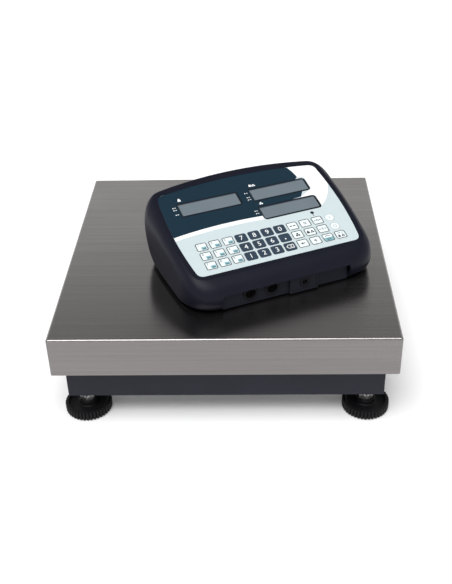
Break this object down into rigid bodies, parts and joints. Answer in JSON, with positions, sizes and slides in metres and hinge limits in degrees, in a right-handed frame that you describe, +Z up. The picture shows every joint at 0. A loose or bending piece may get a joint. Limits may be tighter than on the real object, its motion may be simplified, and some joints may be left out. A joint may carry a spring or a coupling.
{
  "type": "counting platform scale",
  "caption": "Bench platform scale with a square stainless pan on screw feet and a desk counting indicator with three displays and a keypad lying on the pan.",
  "frame": {"origin": "middle of the footprint at floor level, under the middle of the weighing pan", "axes": "+Z up, +Y to the back where the cable leaves, +X to the right seen from the front"},
  "size_m": [0.4, 0.4, 0.2126],
  "materials": {
    "stainless": "brushed along the width, satin",
    "frame_paint": "dark blue-grey powder coat",
    "cell_aluminium": "satin anodised",
    "zinc_steel": "zinc plated",
    "vial": "clear green vial",
    "black_plastic": "moulded, satin",
    "black_rubber": "matte rubber",
    "foot_plastic": "moulded, ribbed",
    "case_plastic": "fine spark texture, semi matte",
    "overlay_film": "printed polyester film",
    "display_glass": "grey display glass",
    "circuit_board": "solder mask",
    "battery_case": "moulded",
    "socket_metal": "black shell, plated pins",
    "key_light": "domed film, satin",
    "key_dark": "domed film, satin",
    "key_round_face": "domed film, satin"
  },
  "bodies": {
    "base": {"base_frame": "frame_paint", "load_cell": "cell_aluminium", "base_bolts": "zinc_steel", "bubble_level": "vial", "cable_gland": "black_plastic"},
    "platform": {"platform_frame": "frame_paint", "platform_bolts": "zinc_steel", "pan_pads": "black_rubber"},
    "pan": {"weighing_pan": "stainless"},
    "indicator": {"case_top": "case_plastic", "case_bottom": "case_plastic", "keypad_overlay": "overlay_film", "lcd_modules": "display_glass", "main_board": "circuit_board", "battery": "battery_case", "signal_sockets": "socket_metal", "dc_socket": "black_plastic", "case_screws": "zinc_steel", "case_feet": "black_rubber"},
    "foot_fl_sole": {"foot_pad_fl": "black_rubber"},
    "foot_fl_wheel": {"foot_wheel_fl": "foot_plastic"},
    "foot_fr_sole": {"foot_pad_fr": "black_rubber"},
    "foot_fr_wheel": {"foot_wheel_fr": "foot_plastic"},
    "foot_rl_sole": {"foot_pad_rl": "black_rubber"},
    "foot_rl_wheel": {"foot_wheel_rl": "foot_plastic"},
    "foot_rr_sole": {"foot_pad_rr": "black_rubber"},
    "foot_rr_wheel": {"foot_wheel_rr": "foot_plastic"},
    "key_memory_1": {"key_memory_1": "key_light"},
    "key_memory_2": {"key_memory_2": "key_light"},
    "key_memory_3": {"key_memory_3": "key_light"},
    "key_7": {"key_7": "key_dark"},
    "key_8": {"key_8": "key_dark"},
    "key_9": {"key_9": "key_dark"},
    "key_0": {"key_0": "key_dark"},
    "key_sample": {"key_sample": "key_light"},
    "key_unit_weight": {"key_unit_weight": "key_light"},
    "key_zero": {"key_zero": "key_light"},
    "key_on": {"key_on": "key_round_face"},
    "key_memory_4": {"key_memory_4": "key_light"},
    "key_memory_5": {"key_memory_5": "key_light"},
    "key_memory_6": {"key_memory_6": "key_light"},
    "key_4": {"key_4": "key_dark"},
    "key_5": {"key_5": "key_dark"},
    "key_6": {"key_6": "key_dark"},
    "key_decimal_point": {"key_decimal_point": "key_dark"},
    "key_pieces": {"key_pieces": "key_light"},
    "key_weight_count": {"key_weight_count": "key_light"},
    "key_tare": {"key_tare": "key_light"},
    "key_off": {"key_off": "key_round_face"},
    "key_memory_7": {"key_memory_7": "key_light"},
    "key_memory_8": {"key_memory_8": "key_light"},
    "key_memory_9": {"key_memory_9": "key_light"},
    "key_1": {"key_1": "key_dark"},
    "key_2": {"key_2": "key_dark"},
    "key_3": {"key_3": "key_dark"},
    "key_clear": {"key_clear": "key_dark"},
    "key_recall": {"key_recall": "key_light"},
    "key_accumulate": {"key_accumulate": "key_light"},
    "key_print": {"key_print": "key_light"},
    "key_mode": {"key_mode": "key_light"}
  },
  "joints": [
    {"name": "platform_deflection", "type": "slide", "parent": "base", "child": "platform", "axis": [0, 0, -1], "range_m": [0, 0.0005], "stiffness_N_per_m": 1470000, "springref_m": -0.00004, "deforming": ["load_cell"]},
    {"name": "pan_lift", "type": "slide", "parent": "platform", "child": "pan", "axis": [0, 0, 1], "range_m": [0, 0.12]},
    {"name": "indicator_lift", "type": "slide", "parent": "pan", "child": "indicator", "axis": [0, 0, 1], "range_m": [0, 0.25]},
    {"name": "foot_fl_travel", "type": "slide", "parent": "base", "child": "foot_fl_sole", "axis": [0, 0, -1], "range_m": [-0.0081, 0.0121]},
    {"name": "foot_fl_turn", "type": "hinge", "parent": "foot_fl_sole", "child": "foot_fl_wheel", "pos_m": [-0.1675, -0.1675, 0], "axis": [0, 0, 1], "range_deg": [-2920, 1950]},
    {"name": "foot_fr_travel", "type": "slide", "parent": "base", "child": "foot_fr_sole", "axis": [0, 0, -1], "range_m": [-0.0081, 0.0121]},
    {"name": "foot_fr_turn", "type": "hinge", "parent": "foot_fr_sole", "child": "foot_fr_wheel", "pos_m": [0.1675, -0.1675, 0], "axis": [0, 0, 1], "range_deg": [-2920, 1950]},
    {"name": "foot_rl_travel", "type": "slide", "parent": "base", "child": "foot_rl_sole", "axis": [0, 0, -1], "range_m": [-0.0081, 0.0121]},
    {"name": "foot_rl_turn", "type": "hinge", "parent": "foot_rl_sole", "child": "foot_rl_wheel", "pos_m": [-0.1675, 0.1675, 0], "axis": [0, 0, 1], "range_deg": [-2920, 1950]},
    {"name": "foot_rr_travel", "type": "slide", "parent": "base", "child": "foot_rr_sole", "axis": [0, 0, -1], "range_m": [-0.0081, 0.0121]},
    {"name": "foot_rr_turn", "type": "hinge", "parent": "foot_rr_sole", "child": "foot_rr_wheel", "pos_m": [0.1675, 0.1675, 0], "axis": [0, 0, 1], "range_deg": [-2920, 1950]},
    {"name": "key_memory_1_press", "type": "slide", "parent": "indicator", "child": "key_memory_1", "axis": [-0.1182, 0.2645, -0.9571], "range_m": [0, 0.0005], "stiffness_N_per_m": 2000, "springref_m": -0.0005},
    {"name": "key_memory_2_press", "type": "slide", "parent": "indicator", "child": "key_memory_2", "axis": [-0.1182, 0.2645, -0.9571], "range_m": [0, 0.0005], "stiffness_N_per_m": 2000, "springref_m": -0.0005},
    {"name": "key_memory_3_press", "type": "slide", "parent": "indicator", "child": "key_memory_3", "axis": [-0.1182, 0.2645, -0.9571], "range_m": [0, 0.0005], "stiffness_N_per_m": 2000, "springref_m": -0.0005},
    {"name": "key_7_press", "type": "slide", "parent": "indicator", "child": "key_7", "axis": [-0.1182, 0.2645, -0.9571], "range_m": [0, 0.0005], "stiffness_N_per_m": 2000, "springref_m": -0.0005},
    {"name": "key_8_press", "type": "slide", "parent": "indicator", "child": "key_8", "axis": [-0.1182, 0.2645, -0.9571], "range_m": [0, 0.0005], "stiffness_N_per_m": 2000, "springref_m": -0.0005},
    {"name": "key_9_press", "type": "slide", "parent": "indicator", "child": "key_9", "axis": [-0.1182, 0.2645, -0.9571], "range_m": [0, 0.0005], "stiffness_N_per_m": 2000, "springref_m": -0.0005},
    {"name": "key_0_press", "type": "slide", "parent": "indicator", "child": "key_0", "axis": [-0.1182, 0.2645, -0.9571], "range_m": [0, 0.0005], "stiffness_N_per_m": 2000, "springref_m": -0.0005},
    {"name": "key_sample_press", "type": "slide", "parent": "indicator", "child": "key_sample", "axis": [-0.1182, 0.2645, -0.9571], "range_m": [0, 0.0005], "stiffness_N_per_m": 2000, "springref_m": -0.0005},
    {"name": "key_unit_weight_press", "type": "slide", "parent": "indicator", "child": "key_unit_weight", "axis": [-0.1182, 0.2645, -0.9571], "range_m": [0, 0.0005], "stiffness_N_per_m": 2000, "springref_m": -0.0005},
    {"name": "key_zero_press", "type": "slide", "parent": "indicator", "child": "key_zero", "axis": [-0.1182, 0.2645, -0.9571], "range_m": [0, 0.0005], "stiffness_N_per_m": 2000, "springref_m": -0.0005},
    {"name": "key_on_press", "type": "slide", "parent": "indicator", "child": "key_on", "axis": [-0.1182, 0.2645, -0.9571], "range_m": [0, 0.0005], "stiffness_N_per_m": 2000, "springref_m": -0.0005},
    {"name": "key_memory_4_press", "type": "slide", "parent": "indicator", "child": "key_memory_4", "axis": [-0.1182, 0.2645, -0.9571], "range_m": [0, 0.0005], "stiffness_N_per_m": 2000, "springref_m": -0.0005},
    {"name": "key_memory_5_press", "type": "slide", "parent": "indicator", "child": "key_memory_5", "axis": [-0.1182, 0.2645, -0.9571], "range_m": [0, 0.0005], "stiffness_N_per_m": 2000, "springref_m": -0.0005},
    {"name": "key_memory_6_press", "type": "slide", "parent": "indicator", "child": "key_memory_6", "axis": [-0.1182, 0.2645, -0.9571], "range_m": [0, 0.0005], "stiffness_N_per_m": 2000, "springref_m": -0.0005},
    {"name": "key_4_press", "type": "slide", "parent": "indicator", "child": "key_4", "axis": [-0.1182, 0.2645, -0.9571], "range_m": [0, 0.0005], "stiffness_N_per_m": 2000, "springref_m": -0.0005},
    {"name": "key_5_press", "type": "slide", "parent": "indicator", "child": "key_5", "axis": [-0.1182, 0.2645, -0.9571], "range_m": [0, 0.0005], "stiffness_N_per_m": 2000, "springref_m": -0.0005},
    {"name": "key_6_press", "type": "slide", "parent": "indicator", "child": "key_6", "axis": [-0.1182, 0.2645, -0.9571], "range_m": [0, 0.0005], "stiffness_N_per_m": 2000, "springref_m": -0.0005},
    {"name": "key_decimal_point_press", "type": "slide", "parent": "indicator", "child": "key_decimal_point", "axis": [-0.1182, 0.2645, -0.9571], "range_m": [0, 0.0005], "stiffness_N_per_m": 2000, "springref_m": -0.0005},
    {"name": "key_pieces_press", "type": "slide", "parent": "indicator", "child": "key_pieces", "axis": [-0.1182, 0.2645, -0.9571], "range_m": [0, 0.0005], "stiffness_N_per_m": 2000, "springref_m": -0.0005},
    {"name": "key_weight_count_press", "type": "slide", "parent": "indicator", "child": "key_weight_count", "axis": [-0.1182, 0.2645, -0.9571], "range_m": [0, 0.0005], "stiffness_N_per_m": 2000, "springref_m": -0.0005},
    {"name": "key_tare_press", "type": "slide", "parent": "indicator", "child": "key_tare", "axis": [-0.1182, 0.2645, -0.9571], "range_m": [0, 0.0005], "stiffness_N_per_m": 2000, "springref_m": -0.0005},
    {"name": "key_off_press", "type": "slide", "parent": "indicator", "child": "key_off", "axis": [-0.1182, 0.2645, -0.9571], "range_m": [0, 0.0005], "stiffness_N_per_m": 2000, "springref_m": -0.0005},
    {"name": "key_memory_7_press", "type": "slide", "parent": "indicator", "child": "key_memory_7", "axis": [-0.1182, 0.2645, -0.9571], "range_m": [0, 0.0005], "stiffness_N_per_m": 2000, "springref_m": -0.0005},
    {"name": "key_memory_8_press", "type": "slide", "parent": "indicator", "child": "key_memory_8", "axis": [-0.1182, 0.2645, -0.9571], "range_m": [0, 0.0005], "stiffness_N_per_m": 2000, "springref_m": -0.0005},
    {"name": "key_memory_9_press", "type": "slide", "parent": "indicator", "child": "key_memory_9", "axis": [-0.1182, 0.2645, -0.9571], "range_m": [0, 0.0005], "stiffness_N_per_m": 2000, "springref_m": -0.0005},
    {"name": "key_1_press", "type": "slide", "parent": "indicator", "child": "key_1", "axis": [-0.1182, 0.2645, -0.9571], "range_m": [0, 0.0005], "stiffness_N_per_m": 2000, "springref_m": -0.0005},
    {"name": "key_2_press", "type": "slide", "parent": "indicator", "child": "key_2", "axis": [-0.1182, 0.2645, -0.9571], "range_m": [0, 0.0005], "stiffness_N_per_m": 2000, "springref_m": -0.0005},
    {"name": "key_3_press", "type": "slide", "parent": "indicator", "child": "key_3", "axis": [-0.1182, 0.2645, -0.9571], "range_m": [0, 0.0005], "stiffness_N_per_m": 2000, "springref_m": -0.0005},
    {"name": "key_clear_press", "type": "slide", "parent": "indicator", "child": "key_clear", "axis": [-0.1182, 0.2645, -0.9571], "range_m": [0, 0.0005], "stiffness_N_per_m": 2000, "springref_m": -0.0005},
    {"name": "key_recall_press", "type": "slide", "parent": "indicator", "child": "key_recall", "axis": [-0.1182, 0.2645, -0.9571], "range_m": [0, 0.0005], "stiffness_N_per_m": 2000, "springref_m": -0.0005},
    {"name": "key_accumulate_press", "type": "slide", "parent": "indicator", "child": "key_accumulate", "axis": [-0.1182, 0.2645, -0.9571], "range_m": [0, 0.0005], "stiffness_N_per_m": 2000, "springref_m": -0.0005},
    {"name": "key_print_press", "type": "slide", "parent": "indicator", "child": "key_print", "axis": [-0.1182, 0.2645, -0.9571], "range_m": [0, 0.0005], "stiffness_N_per_m": 2000, "springref_m": -0.0005},
    {"name": "key_mode_press", "type": "slide", "parent": "indicator", "child": "key_mode", "axis": [-0.1182, 0.2645, -0.9571], "range_m": [0, 0.0005], "stiffness_N_per_m": 2000, "springref_m": -0.0005}
  ],
  "couplings": [
    {"joint": "foot_fl_turn", "follows": "foot_fl_travel", "rad_per_m": -4188.8},
    {"joint": "foot_fr_turn", "follows": "foot_fr_travel", "rad_per_m": -4188.8},
    {"joint": "foot_rl_turn", "follows": "foot_rl_travel", "rad_per_m": -4188.8},
    {"joint": "foot_rr_turn", "follows": "foot_rr_travel", "rad_per_m": -4188.8}
  ]
}
